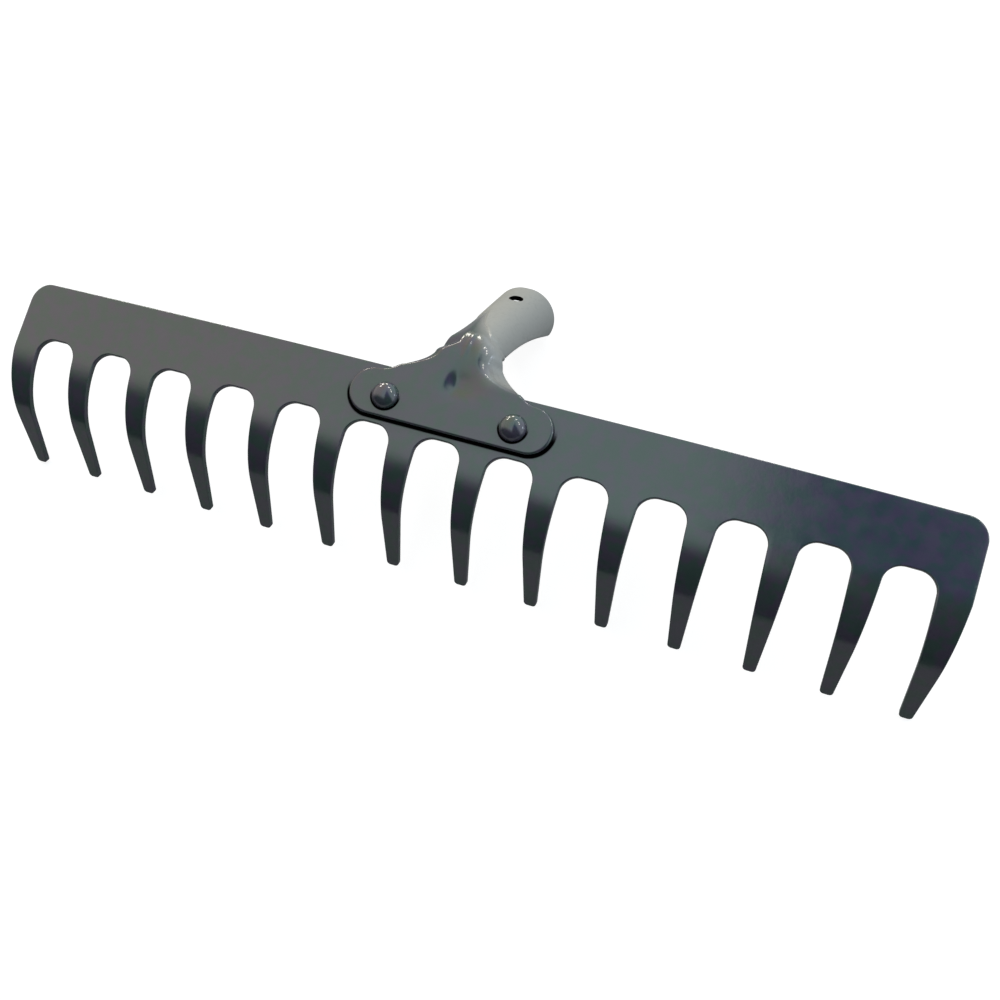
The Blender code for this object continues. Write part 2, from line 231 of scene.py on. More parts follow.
# Noise in the paint: scale and detail, then the part of its range that is used
PATCH_NOISE = (22.0, 3.0)
MOTTLE_NOISE = (160.0, 4.0)
TINT_NOISE = (200.0, 3.0)
FLECK_NOISE = (700.0, 3.0)
PEEL_NOISE = (700.0, 2.0)
RIPPLE_NOISE = (55.0, 2.0)
TONE_SPAN = (0.3, 0.7)
TINT_SPAN = (0.38, 0.62)
GLOSS_SPAN = (0.25, 0.75)
FLECK_SPAN = (0.5, 0.75)

# Painted light on the tube: lighter paint from about the crease on, with darker flecks, over a
# duller,
# rougher finish: its colours, and the distances, from the crease or for leaving the plate along the
# tube, over which it sets in
TUBE_PAINTED_LIGHT_COLOUR = (0.33, 0.325, 0.305)
FLECK_COLOUR = (0.20, 0.20, 0.19)
FLECK_SHARE = 0.3
PAINTED_LIGHT_FADES = (-0.014, 0.004)
CHALK_AND_PAINTED_LIGHT_WANDERS = 0.0012
CHALK_AND_PAINTED_LIGHT_FIRST = 0.0105
PAINTED_LIGHT_LEAVES_PLATE = (0.0045, 0.0090)
CHALK_DULLS = (-0.004, 0.005)
CHALK_ROUGHER = 0.3

# Painted shadow in black below the foot plate's lower edge and the rivet heads, and painted shade in
# the nail hole: colour, roughness, widths, the share of a width that is fully black, and the shares
# of an outline's radius and of the hole between which it sets in
PAINTED_SHADE_COLOUR = (0.002, 0.002, 0.002)
PAINTED_SHADE_ROUGHNESS = 0.8
PLATE_SHADOW_WIDTH = 0.0016
RIVET_SHADOW_WIDTH = 0.0009
SHADOW_BLACK_SHARE = 0.6
SHADOW_BELOW = (0.35, -0.25)
NAIL_HOLE_SHADE = (0.54, 0.5)

# Sizes that follow from these
BLADE_HALF_LENGTH = (TOOTH_COUNT / 2 - 1) * TOOTH_PITCH + GAP_WIDTH / 2 + END_TOOTH_ROOT
PLATE_TOP = PLATE_ABOVE_GAPS + PLATE_HEIGHT
RIVET_X = PLATE_LENGTH / 2 - RIVET_FROM_PLATE_END
RIVET_Z = PLATE_ABOVE_GAPS + RIVET_ABOVE_PLATE_EDGE
NECK_BASE = WEB_HEIGHT + NECK_ABOVE_BLADE
NECK_BEND = math.radians(90 - SOCKET_RISE_DEG)
NECK_LENGTH = NECK_STRAIGHT + NECK_BEND_RADIUS * NECK_BEND
NAIL_WAY = NECK_LENGTH + SOCKET_LENGTH - NAIL_HOLE_FROM_MOUTH
REST = Matrix.Translation(REST_PLACE) @ Matrix.Rotation(math.radians(REST_TURN_DEG), 4, "X")


# Meshes

def blend(start, end, share):
    return start + (end - start) * share


def ease(value):
    """Smooth step from 0 to 1."""
    value = min(max(value, 0.0), 1.0)
    return value * value * (3 - 2 * value)


def piece_from(name, mesh_build):
    mesh = bpy.data.meshes.new(name)
    mesh_build.to_mesh(mesh)
    mesh_build.free()
    piece = bpy.data.objects.new(name, mesh)
    bpy.context.scene.collection.objects.link(piece)
    return piece


def apply_modifiers(piece):
    """Turn the piece with its modifiers into a plain mesh."""
    graph = bpy.context.evaluated_depsgraph_get()
    mesh = bpy.data.meshes.new_from_object(piece.evaluated_get(graph))
    piece.modifiers.clear()
    piece.data = mesh


def finish_piece(piece, node, material):
    """Shade the piece smooth, lay it down where the CAD node lies and let it stand for the node."""
    piece.data.materials.clear()
    piece.data.materials.append(material)
    piece.data.polygons.foreach_set("use_smooth", [True] * len(piece.data.polygons))
    weighted = piece.modifiers.new("flat faces stay flat", "WEIGHTED_NORMAL")
    weighted.mode = "FACE_AREA"
    weighted.weight = FLAT_FACE_WEIGHT
    weighted.keep_sharp = True
    piece.data.transform(REST @ piece.matrix_basis)
    piece.matrix_basis = Matrix.Identity(4)
    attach(piece, "root")
    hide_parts(node)


# Toothed blade: a flat blank with rounded edges, which is then pressed into shape

def sweep_back(x, y, z):
    """Wrap a point of the blade round the slight rearward sweep of its wings."""
    wing = abs(x) - SEAT_LENGTH / 2
    if wing <= 0:
        return Vector((x, y, z))
    turn = wing / SWEEP_RADIUS
    swept_x = SEAT_LENGTH / 2 + (SWEEP_RADIUS - y) * math.sin(turn)
    swept_y = SWEEP_RADIUS - (SWEEP_RADIUS - y) * math.cos(turn)
    return Vector((math.copysign(swept_x, x), swept_y, z))


def press(x, depth, up):
    """Place a point of the blank, at a depth behind its front, on the pressed blade."""
    if up >= 0:
        return sweep_back(x, depth, up)
    down = -up
    bend = math.radians(TOOTH_BEND_DEG)
    turn = min(max((down - TOOTH_STRAIGHT) / TOOTH_BEND_RADIUS, 0.0), bend)
    straight = min(down, TOOTH_STRAIGHT)
    beyond = max(down - TOOTH_STRAIGHT - TOOTH_BEND_RADIUS * bend, 0.0)
    y = TOOTH_BEND_RADIUS * (1 - math.cos(turn)) + beyond * math.sin(turn)
    z = -straight - TOOTH_BEND_RADIUS * math.sin(turn) - beyond * math.cos(turn)
    return sweep_back(x, y + depth * math.cos(turn), z + depth * math.sin(turn))


def tooth_side(down, root):
    """Half width of a tooth on one side, down from the gap tops."""
    if down < GAP_CORNER_RADIUS:
        rise = GAP_CORNER_RADIUS - down
        corner = math.sqrt(GAP_CORNER_RADIUS**2 - rise**2)
        return root + GAP_CORNER_RADIUS - corner
    share = (down - GAP_CORNER_RADIUS) / (TOOTH_LENGTH - GAP_CORNER_RADIUS)
    side = root + (TOOTH_TIP_WIDTH / 2 - root) * share
    into_tip = down - (TOOTH_LENGTH - TOOTH_TIP_RADIUS)
    if into_tip > 0:
        side -= TOOTH_TIP_RADIUS - math.sqrt(max(TOOTH_TIP_RADIUS**2 - into_tip**2, 0.0))
    return side


def tooth_levels():
    """Distances below the gap tops at which a tooth's outline has points."""
    corner = [
        GAP_CORNER_RADIUS * (1 - math.cos(math.pi / 2 * i / CORNER_STEPS))
        for i in range(CORNER_STEPS + 1)
    ]
    tip_start = TOOTH_LENGTH - TOOTH_TIP_RADIUS
    tip = [
        tip_start + TOOTH_TIP_RADIUS * math.sin(math.pi / 2 * i / TIP_STEPS)
        for i in range(TIP_STEPS + 1)
    ]
    return corner + tip


def tooth_outline(number):
    """Outline of one tooth, down its left side and up its right; end teeth are straight outside."""
    centre = (number - (TOOTH_COUNT - 1) / 2) * TOOTH_PITCH
    inner_root = (TOOTH_PITCH - GAP_WIDTH) / 2
    outer_root = END_TOOTH_ROOT - inner_root
    left, right = [], []
    for down in tooth_levels():
        inner = tooth_side(down, inner_root)
        outer = tooth_side(max(down, GAP_CORNER_RADIUS), outer_root)
        left_side = outer if number == 0 else inner
        right_side = outer if number == TOOTH_COUNT - 1 else inner
        left.append((centre - left_side, -down))
        right.append((centre + right_side, -down))
    return left + right[::-1]


def blank_outline():
    """Outline of the whole flat blank, anticlockwise."""
    points = []
    for number in range(TOOTH_COUNT):
        points += tooth_outline(number)
    corner = []
    for i in range(CORNER_STEPS + 1):
        angle = math.pi / 2 * i / CORNER_STEPS
        across = WEB_CORNER_RADIUS * (1 - math.cos(angle))
        drop = WEB_CORNER_RADIUS * (1 - math.sin(angle))
        corner.append((BLADE_HALF_LENGTH - across, WEB_HEIGHT - drop))
    points += corner
    points += [(-x, z) for x, z in reversed(corner)]
    return points


def outward(points):
    """Outward direction at each point of an anticlockwise outline."""
    directions = []
    for i, point in enumerate(points):
        before = Vector(point) - Vector(points[i - 1])
        after = Vector(points[(i + 1) % len(points)]) - Vector(point)
        along = before.normalized() + after.normalized()
        directions.append(Vector((along.y, -along.x)).normalized())
    return directions


def blank_rings(points, thickness, radius):
    """Outline repeated from the front cap's edge, over the rounded rim, to the back cap's."""
    rings = []
    directions = outward(points)
    for i in range(ROUND_STEPS + 1):
        angle = math.pi / 2 * i / ROUND_STEPS
        inset = radius * (1 - math.sin(angle))
        depth = radius * (1 - math.cos(angle))
        ring = [Vector(p) - d * inset for p, d in zip(points, directions)]
        rings.append((depth, ring))
    return rings + [(thickness - depth, ring) for depth, ring in reversed(rings)]


def cut_across(mesh_build, place, normal):
    bmesh.ops.bisect_plane(
        mesh_build,
        geom=mesh_build.verts[:] + mesh_build.edges[:] + mesh_build.faces[:],
        dist=CUT_TOLERANCE,
        plane_co=place,
        plane_no=normal,
    )


def make_toothed_blade(material):
    mesh_build = bmesh.new()
    rings = []
    for depth, ring in blank_rings(blank_outline(), BLADE_THICKNESS, BLADE_EDGE_ROUND):
        rings.append([mesh_build.verts.new((p.x, depth, p.y)) for p in ring])
    mesh_build.faces.new(rings[0])
    mesh_build.faces.new(rings[-1][::-1])
    for front, back in zip(rings, rings[1:]):
        for i in range(len(front)):
            mesh_build.faces.new((front[i - 1], back[i - 1], back[i], front[i]))
    bmesh.ops.recalc_face_normals(mesh_build, faces=mesh_build.faces[:])
    bmesh.ops.triangulate(mesh_build, faces=[f for f in mesh_build.faces if len(f.verts) > 4])
    bend_length = TOOTH_BEND_RADIUS * math.radians(TOOTH_BEND_DEG)
    for i in range(BEND_CUTS + 1):
        down = TOOTH_STRAIGHT + bend_length * i / BEND_CUTS
        cut_across(mesh_build, (0, 0, -down), (0, 0, 1))
    cuts = int((BLADE_HALF_LENGTH - SEAT_LENGTH / 2) / SWEEP_CUT_SPACING)
    for i in range(cuts + 1):
        for side in (-1, 1):
            x = side * (SEAT_LENGTH / 2 + i * SWEEP_CUT_SPACING)
            cut_across(mesh_build, (x, 0, 0), (1, 0, 0))
    for vertex in mesh_build.verts:
        vertex.co = press(*vertex.co)
    blade = piece_from("blade_sheet", mesh_build)
    finish_piece(blade, "toothed_blade", material)


# Handle socket: a foot plate, a neck that folds and a tube open along its underside

def spine(way):
    """Point, direction and inward normal of the socket's top line, at a way along it."""
    turn = min(max((way - NECK_STRAIGHT) / NECK_BEND_RADIUS, 0.0), NECK_BEND)
    rise = min(way, NECK_STRAIGHT)
    beyond = max(way - NECK_LENGTH, 0.0)
    y = NECK_BEND_RADIUS * (1 - math.cos(turn)) + beyond * math.sin(turn)
    z = rise + NECK_BEND_RADIUS * math.sin(turn) + beyond * math.cos(turn)
    point = Vector((0.0, y - SHEET_THICKNESS, z + NECK_BASE))
    along = Vector((0.0, math.sin(turn), math.cos(turn)))
    inward = Vector((0.0, math.cos(turn), -math.sin(turn)))
    return point, along, inward


def section_reach(fold, angle, flank):
    """How far the fold and the flank reach sideways from the flat middle."""
    if angle == 0:
        return fold + flank
    radius = fold / angle
    return radius * math.sin(min(angle, math.pi / 2)) + flank * max(math.cos(angle), 0)


def along_tube(way):
    """Share of the tube that lies before a way."""
    return max((way - NECK_LENGTH) / SOCKET_LENGTH, 0.0)


def tube_radius(way):
    return blend(SOCKET_THROAT_DIAMETER / 2, SOCKET_DIAMETER / 2, ease(along_tube(way)))


def half_width(way):
    """Half the width of the neck or tube."""
    narrowing = 1 - max(1 - max(way, 0.0) / NECK_STRAIGHT, 0.0) ** NECK_FLARE_POWER
    width = blend(NECK_BASE_HALF_WIDTH, NECK_HALF_WIDTH, narrowing)
    return blend(width, tube_radius(way), ease(way / NECK_LENGTH))


def rolled_section(way):
    """Half flat, fold length, fold angle and flank of the round sheet at a way along it."""
    rounding = ease(way / NECK_LENGTH)
    wrap = blend(THROAT_WRAP_DEG, SOCKET_WRAP_DEG, along_tube(way) ** WRAP_POWER)
    angle = math.radians(blend(90.0 * ease(way / NECK_STRAIGHT), wrap, rounding))
    radius = blend(NECK_FOLD_RADIUS, tube_radius(way) - CROWN_FLAT, rounding)
    fold = radius * max(angle, FIRST_FOLD)
    flank = blend(NECK_FLANK, EDGE_FLAT, rounding)
    flat = half_width(way) - section_reach(fold, angle, flank)
    return max(flat, CROWN_FLAT), fold, max(angle, FLATTEST_FOLD), flank


def ridged_section(way, side):
    """The same sizes where the neck still has its two pressed ridges."""
    rise = min(max(way / NECK_STRAIGHT, 0.0), 1.0)
    beyond = min(max((way - NECK_STRAIGHT) / (NECK_LENGTH - NECK_STRAIGHT), 0.0), 1.0)
    plate_share, bend_share, tube_share = RIDGE_SHARE[side]
    spreading = 1 - (1 - rise) ** RIDGE_SPREAD_POWER
    share = blend(plate_share, bend_share, spreading)
    share = blend(share, tube_share, ease(beyond / RIDGE_CLOSED[side]))
    plate_turn, bend_turn, tube_turn = RIDGE_TURN_DEG[side]
    turning = 1 - (1 - rise) ** RIDGE_TURN_POWER
    turn = blend(blend(plate_turn, bend_turn, turning), tube_turn, ease(beyond))
    angle = max(math.radians(turn), FLATTEST_FOLD)
    radius = RIDGE_RADIUS[side]
    flat = share * half_width(way)
    flank = (half_width(way) - flat - radius * math.sin(angle)) / math.cos(angle)
    return flat, radius * angle, angle, flank


def section_length(sizes):
    flat, fold, _, flank = sizes
    return flat + fold + flank


def section_point(sizes, along):
    """Point of a half section, as (across, inward), at a distance along it from the crown."""
    flat, fold, angle, flank = sizes
    radius = fold / angle
    turn = angle * min(max(along - flat, 0.0), fold) / fold
    beyond = max(along - flat - fold, 0.0)
    across = min(along, flat) + radius * math.sin(turn) + beyond * math.cos(angle)
    return Vector((across, radius * (1 - math.cos(turn)) + beyond * math.sin(angle)))


def beside_fold(way, across):
    """How far the sheet is sunk beside the low fold, at a distance right of the crown."""
    aside = across + FOLD_FROM_CROWN
    rising = ease((way - FOLD_RISES[0]) / (FOLD_RISES[1] - FOLD_RISES[0]))
    dying = ease((way - FOLD_DIES[0]) / (FOLD_DIES[1] - FOLD_DIES[0]))
    sunk = math.exp(-((aside / FOLD_SUNK_REACH) ** 2)) - math.exp(-((aside / FOLD_HALF_WIDTH) ** 2))
    return FOLD_HEIGHT * rising * (1 - dying) * sunk


def edge_inset(way):
    """How far a row ends inside the sheet's edge, so that the rounded rim can begin there."""
    slope = (half_width(way + SLOPE_STEP) - half_width(way)) / SLOPE_STEP
    return SHEET_EDGE_ROUND * math.hypot(1.0, slope)


def crease_way(across):
    """Way at which the crease crosses the sheet, at a distance right of the crown."""
    crease = CREASE_FROM_BASE - CREASE_SLANT * across + CREASE_CURL * min(across, 0.0) ** 2
    return min(max(crease, CREASE_FIRST), CREASE_LAST)


def half_section(way, side):
    """Sheet's outer line from the crown to the start of its rim, as (across, inward) pairs."""
    ridged, rolled = ridged_section(way, side), rolled_section(way)
    ridged_length = section_length(ridged) - edge_inset(way)
    rolled_length = section_length(rolled) - edge_inset(way)
    points = []
    for i in range(SECTION_STEPS + 1):
        share = i / SECTION_STEPS
        crease = crease_way(side * rolled_length * share)
        nearing = min(max((way - NECK_STRAIGHT) / (crease - NECK_STRAIGHT), 0.0), 1.0)
        point = section_point(ridged, ridged_length * share)
        point = point.lerp(section_point(rolled, rolled_length * share), nearing**2)
        pinch = CREASE_PINCH * ease(nearing) * (1 - ease((way - crease) / CREASE_LIP))
        points.append((point.x, point.y + pinch + beside_fold(way, side * point.x)))
    return points


def neck_row(way):
    """One row of points across the neck or tube, from its left edge to its right."""
    point, _, inward = spine(way)
    left = [(-across, depth) for across, depth in reversed(half_section(way, -1)[1:])]
    return [
        point + Vector((across, 0.0, 0.0)) + inward * depth
        for across, depth in left + half_section(way, 1)
    ]


def foot_ends():
    """Right ends of the foot plate's rows, inside its edge, from its lower edge to the neck."""
    radius = PLATE_HEIGHT / 2
    end_centre = PLATE_LENGTH / 2 - radius
    middle = PLATE_ABOVE_GAPS + radius
    inner = radius - SHEET_EDGE_ROUND
    ends = []
    for i in range(2 * CORNER_STEPS + 1):
        angle = -math.pi / 2 + math.pi * i / (2 * CORNER_STEPS)
        ends.append(Vector((end_centre + inner * math.cos(angle), middle + inner * math.sin(angle))))
    run, rise = NECK_BASE_HALF_WIDTH - end_centre, NECK_BASE - PLATE_TOP
    for i in range(1, CORNER_STEPS):
        share = i / CORNER_STEPS
        edge = Vector((end_centre + run * share, PLATE_TOP + rise * share**2))
        ends.append(edge - Vector((2 * rise * share, -run)).normalized() * SHEET_EDGE_ROUND)
    return ends


def foot_row(reach, height):
    """One row of points across the foot plate."""
    shares = [i / SECTION_STEPS for i in range(-SECTION_STEPS, SECTION_STEPS + 1)]
    return [Vector((reach * share, -SHEET_THICKNESS, height)) for share in shares]


def dent_depth(point):
    """Depth of the shallow dent pressed into the front, at the foot of the neck's crown."""
    left, right, down, up = DENT_REACH
    across = point.x - DENT_PLACE[0]
    above = point.z - DENT_PLACE[1]
    across /= left if across < 0 else right
    above /= down if above < 0 else up
    return DENT_DEPTH * math.exp(-(across**2) - above**2)


def socket_sheet():
    """The socket's outer surface, before the sheet gets its thickness."""
    mesh_build = bmesh.new()
    total = NECK_LENGTH + SOCKET_LENGTH - SHEET_EDGE_ROUND - MOUTH_SPARE
    ways = [NECK_LENGTH * i / NECK_STEPS for i in range(NECK_STEPS)]
    ways += [blend(NECK_LENGTH, total, i / TUBE_STEPS) for i in range(TUBE_STEPS + 1)]
    rows = [foot_row(*end) for end in foot_ends()] + [neck_row(way) for way in ways]
    grid = [[mesh_build.verts.new(p) for p in row] for row in rows]
    for lower, upper in zip(grid, grid[1:]):
        for i in range(len(lower) - 1):
            mesh_build.faces.new((lower[i], lower[i + 1], upper[i + 1], upper[i]))
    for vertex in mesh_build.verts:
        if vertex.co.z < NECK_BASE + DENT_FADE and vertex.co.y < SHEET_THICKNESS:
            vertex.co.y += dent_depth(vertex.co)
    return mesh_build


def thicken(mesh_build):
    """Give the open sheet its thickness behind its front, with a rounded rim."""
    mesh_build.normal_update()
    fronts, faces = mesh_build.verts[:], mesh_build.faces[:]
    edge_loops = [edge.link_loops[0] for edge in mesh_build.edges if edge.is_boundary]
    away = {}
    for loop in edge_loops:
        corner, following = loop.vert, loop.link_loop_next.vert
        aside = (following.co - corner.co).cross(loop.face.normal).normalized()
        for vertex in (corner, following):
            away[vertex] = away.get(vertex, Vector()) + aside
    rounding = []
    for i in range(1, ROUND_STEPS + 1):
        angle = math.pi / 2 * i / ROUND_STEPS
        depth = SHEET_EDGE_ROUND * (1 - math.cos(angle))
        rounding.append((SHEET_EDGE_ROUND * math.sin(angle), depth))
    rounding += [(out, SHEET_THICKNESS - depth) for out, depth in reversed(rounding)]
    place = {vertex: (vertex.co.copy(), vertex.normal.copy()) for vertex in fronts}
    backs = {}
    for vertex, (front, normal) in place.items():
        back = front - normal * SHEET_THICKNESS
        if back.z < NECK_BASE:
            back.y = 0.0
        backs[vertex] = mesh_build.verts.new(back)
    rims = {}
    for vertex, aside in away.items():
        front, normal = place[vertex]
        aside.normalize()
        rim = [mesh_build.verts.new(front + aside * out - normal * depth) for out, depth in rounding]
        rims[vertex] = [vertex, *rim, backs[vertex]]
    strips = [(rims[loop.vert], rims[loop.link_loop_next.vert]) for loop in edge_loops]
    for face in faces:
        mesh_build.faces.new([backs[vertex] for vertex in reversed(face.verts)])
    for first, second in strips:
        for i in range(len(first) - 1):
            mesh_build.faces.new((first[i], first[i + 1], second[i + 1], second[i]))


def nail_cutter():
    """Cylinder that cuts the nail hole through the tube's top."""
    mesh_build = bmesh.new()
    bmesh.ops.create_cone(
        mesh_build,
        cap_ends=True,
        segments=NAIL_HOLE_STEPS,
        radius1=NAIL_HOLE_DIAMETER / 2,
        radius2=NAIL_HOLE_DIAMETER / 2,
        depth=SOCKET_DIAMETER / 2,
    )
    cutter = piece_from("nail_hole", mesh_build)
    place, _, inward = spine(NAIL_WAY)
    cutter.location = place
    cutter.rotation_euler = inward.to_track_quat("Z", "Y").to_euler()
    return cutter


def notch_cutter():
    """Wedge that nicks both edges of the sheet where the tube begins, and reaches past them."""
    place, along, inward = spine(NECK_LENGTH)
    edge = half_section(NECK_LENGTH, 1)[-1][1] + SHEET_EDGE_ROUND
    # Depth and side, in half widths at the edge: the wedge is twice as wide where it ends outside
    wedge = [(edge - NOTCH_DEPTH, 0.0), (edge + NOTCH_DEPTH, -2.0), (edge + NOTCH_DEPTH, 2.0)]
    mesh_build = bmesh.new()
    ends = []
    for x in (-SOCKET_DIAMETER, SOCKET_DIAMETER):
        corners = [
            place + Vector((x, 0.0, 0.0)) + inward * depth + along * side * NOTCH_HALF_WIDTH
            for depth, side in wedge
        ]
        ends.append([mesh_build.verts.new(corner) for corner in corners])
    mesh_build.faces.new(ends[0])
    mesh_build.faces.new(ends[1][::-1])
    for i in range(len(wedge)):
        mesh_build.faces.new((ends[0][i - 1], ends[1][i - 1], ends[1][i], ends[0][i]))
    bmesh.ops.recalc_face_normals(mesh_build, faces=mesh_build.faces[:])
    return piece_from("edge_notch", mesh_build)


def cut(piece, name, cutter):
    hole = piece.modifiers.new(name, "BOOLEAN")
    hole.operation = "DIFFERENCE"
    hole.solver = "EXACT"
    hole.object = cutter


def make_handle_socket(material):
    sheet = socket_sheet()
    thicken(sheet)
    socket = piece_from("socket_sheet", sheet)
    cutters = {"nail hole": nail_cutter(), "edge notch": notch_cutter()}
    for name, cutter in cutters.items():
        cut(socket, name, cutter)
    apply_modifiers(socket)
    for cutter in cutters.values():
        bpy.data.objects.remove(cutter)
    socket.data.set_sharp_from_angle(angle=math.radians(SHARP_EDGE_DEG))
    finish_piece(socket, "handle_socket", material)


# Rivets

def dome(radius, height, base, direction):
    """Points from a dome's crown to its rim, as (distance from axis, along axis)."""
    points = []
    for i in range(CORNER_STEPS + 1):
        angle = math.pi / 2 * i / CORNER_STEPS
        points.append((radius * math.sin(angle), base + direction * height * math.cos(angle)))
    return points


def ring(radius, along):
    """Points round the rivet's axis, at a distance from it."""
    angles = [math.tau * i / RIVET_STEPS for i in range(RIVET_STEPS)]
    return [(radius * math.cos(angle), radius * math.sin(angle), along) for angle in angles]


def make_rivet(name, x, node, material):
    """One rivet, turned about its axis, with a domed head in front and a lower tail behind."""
    grip = SHEET_THICKNESS + BLADE_THICKNESS
    points = dome(RIVET_HEAD_DIAMETER / 2, RIVET_HEAD_HEIGHT - RIVET_HEAD_SPARE, 0.0, 1)
    points += [(RIVET_SHANK_DIAMETER / 2, 0.0), (RIVET_SHANK_DIAMETER / 2, -grip)]
    points += reversed(dome(RIVET_TAIL_DIAMETER / 2, RIVET_TAIL_HEIGHT, -grip, -1))
    mesh_build = bmesh.new()
    crown = mesh_build.verts.new((0.0, 0.0, points[0][1]))
    foot = mesh_build.verts.new((0.0, 0.0, points[-1][1]))
    rings = [[mesh_build.verts.new(p) for p in ring(*point)] for point in points[1:-1]]
    for i in range(RIVET_STEPS):
        mesh_build.faces.new((crown, rings[0][i - 1], rings[0][i]))
        for upper, lower in zip(rings, rings[1:]):
            mesh_build.faces.new((upper[i - 1], lower[i - 1], lower[i], upper[i]))
        mesh_build.faces.new((foot, rings[-1][i], rings[-1][i - 1]))
    rivet = piece_from(name, mesh_build)
    rivet.location = (x, -SHEET_THICKNESS, RIVET_Z)
    rivet.rotation_euler = (math.pi / 2, 0.0, 0.0)
    finish_piece(rivet, node, material)


# Materials

class Nodes:
    """Short calls for building a material's or the world's node tree."""

    MIX_COLOURS = (6, 7)
    MIX_RESULT = 2

    def __init__(self, owner):
        owner.use_nodes = True
        self.tree = owner.node_tree
        self.tree.nodes.clear()

    def add(self, kind, settings=None, **sockets):
        """Add a node; each socket gets a value or another node's output."""
        node = self.tree.nodes.new(kind)
        for name, value in (settings or {}).items():
            setattr(node, name, value)
        for name, value in sockets.items():
            self.feed(node, name.replace("_", " "), value)
        return node

    def feed(self, node, name, value):
        socket = node.inputs[name]
        if isinstance(value, bpy.types.NodeSocket):
            self.tree.links.new(value, socket)
        else:
            socket.default_value = value

    def noise(self, place, scale, detail):
        node = self.add("ShaderNodeTexNoise", Vector=place, Scale=scale, Detail=detail)
        return node.outputs["Fac"]

    def ramp(self, value, start, end, low=0.0, high=1.0):
        """Smooth change from low to high while value goes from start to end."""
        node = self.add(
            "ShaderNodeMapRange",
            {"interpolation_type": "SMOOTHSTEP"},
            Value=value,
            From_Min=start,
            From_Max=end,
            To_Min=low,
            To_Max=high,
        )
        return node.outputs["Result"]

    def math(self, operation, first, second=0.0):
        node = self.add("ShaderNodeMath", {"operation": operation})
        self.feed(node, 0, first)
        self.feed(node, 1, second)
        return node.outputs["Value"]

    def mix(self, share, first, second):
        """Colour between two others, each an output or three numbers."""
        node = self.add("ShaderNodeMix", {"data_type": "RGBA"})
        self.feed(node, "Factor", share)
        for index, colour in zip(self.MIX_COLOURS, (first, second)):
            if not isinstance(colour, bpy.types.NodeSocket):
                colour = (*colour, 1.0)
            self.feed(node, index, colour)
        return node.outputs[self.MIX_RESULT]

    def parts(self, vector):
        """The X, Y and Z outputs of a vector."""
        return self.add("ShaderNodeSeparateXYZ", Vector=vector).outputs

    def along(self, place, axis):
        """Distance of a place along an axis through the origin."""
        node = self.add("ShaderNodeVectorMath", {"operation": "DOT_PRODUCT"}, Vector=place)
        node.inputs[1].default_value = axis
        return node.outputs["Value"]

    def away(self, first, second):
        """Distance of a place that lies these two distances, square to each other, from a centre."""
        squares = self.math("ADD", self.math("POWER", first, 2.0), self.math("POWER", second, 2.0))
        return self.math("SQRT", squares)


def blade_place(nodes):
    """Place of a point, and its distance across from the blade's middle and above the gap tops."""
    place = nodes.add("ShaderNodeTexCoord").outputs["Object"]
    on_blade = nodes.add(
        "ShaderNodeMapping",
        {"vector_type": "TEXTURE"},
        Vector=place,
        Location=REST_PLACE,
        Rotation=(math.radians(REST_TURN_DEG), 0.0, 0.0),
    )
    parts = nodes.parts(on_blade.outputs["Vector"])
    return place, nodes.math("ABSOLUTE", parts["X"]), parts["Z"]


def tinted_paint(nodes, place, colour, patches, mottle):
    """The enamel's colour, in lighter and darker patches, with faint green and purple blotches."""
    patchy = nodes.ramp(patches, *TONE_SPAN, -PATCH_WEIGHT, PATCH_WEIGHT)
    mottled = nodes.ramp(mottle, *TONE_SPAN, -MOTTLE_WEIGHT, MOTTLE_WEIGHT)
    limit = PATCH_WEIGHT + MOTTLE_WEIGHT
    tone = nodes.ramp(nodes.math("ADD", patchy, mottled), -limit, limit)
    paint = nodes.mix(tone, [DARKER * c for c in colour], [LIGHTER * c for c in colour])
    tint = nodes.ramp(nodes.noise(place, *TINT_NOISE), *TINT_SPAN)
    return nodes.mix(TINT_SHARE, paint, nodes.mix(tint, GREENISH, PURPLISH))


def dull_paint_and_painted_light_line(nodes, sideways):
    """Way at which the duller finish and the painted light begin: the crease, let nearer to the plate
    than the form is.
    """
    leftward = nodes.math("MINIMUM", sideways, 0.0)
    slanted = nodes.math("SUBTRACT", CREASE_FROM_BASE, nodes.math("MULTIPLY", sideways, CREASE_SLANT))
    curl = nodes.math("MULTIPLY", nodes.math("MULTIPLY", leftward, leftward), CREASE_CURL)
    crease = nodes.math("ADD", slanted, curl)
    return nodes.math("MINIMUM", nodes.math("MAXIMUM", crease, CHALK_AND_PAINTED_LIGHT_FIRST), CREASE_LAST)


def dull_tube_and_painted_light(nodes, place, patches, paint, gloss):
    """Paint and roughness, with a duller finish and lighter, flecked paint, which is painted light,
    over them from about the crease on.
    """
    end, along, _ = spine(NECK_LENGTH)
    axis = REST.to_3x3() @ along
    start = (REST @ end).dot(axis) - NECK_LENGTH
    way = nodes.math("SUBTRACT", nodes.along(place, axis), start)
    beyond = nodes.math("SUBTRACT", way, dull_paint_and_painted_light_line(nodes, nodes.parts(place)["X"]))
    wander = nodes.ramp(patches, *TONE_SPAN, -CHALK_AND_PAINTED_LIGHT_WANDERS, CHALK_AND_PAINTED_LIGHT_WANDERS)
    beyond = nodes.math("ADD", beyond, wander)
    off_plate = nodes.ramp(way, *PAINTED_LIGHT_LEAVES_PLATE)
    # The lighter paint is painted light on the tube and the upper neck
    painted_light_share = nodes.math("MULTIPLY", nodes.ramp(beyond, *PAINTED_LIGHT_FADES), off_plate)
    flecks = nodes.ramp(nodes.noise(place, *FLECK_NOISE), *FLECK_SPAN, 0.0, FLECK_SHARE)
    paint = nodes.mix(painted_light_share, paint, nodes.mix(flecks, TUBE_PAINTED_LIGHT_COLOUR, FLECK_COLOUR))
    gloss = nodes.math("ADD", gloss, nodes.ramp(beyond, *CHALK_DULLS, 0.0, CHALK_ROUGHER))
    return paint, gloss


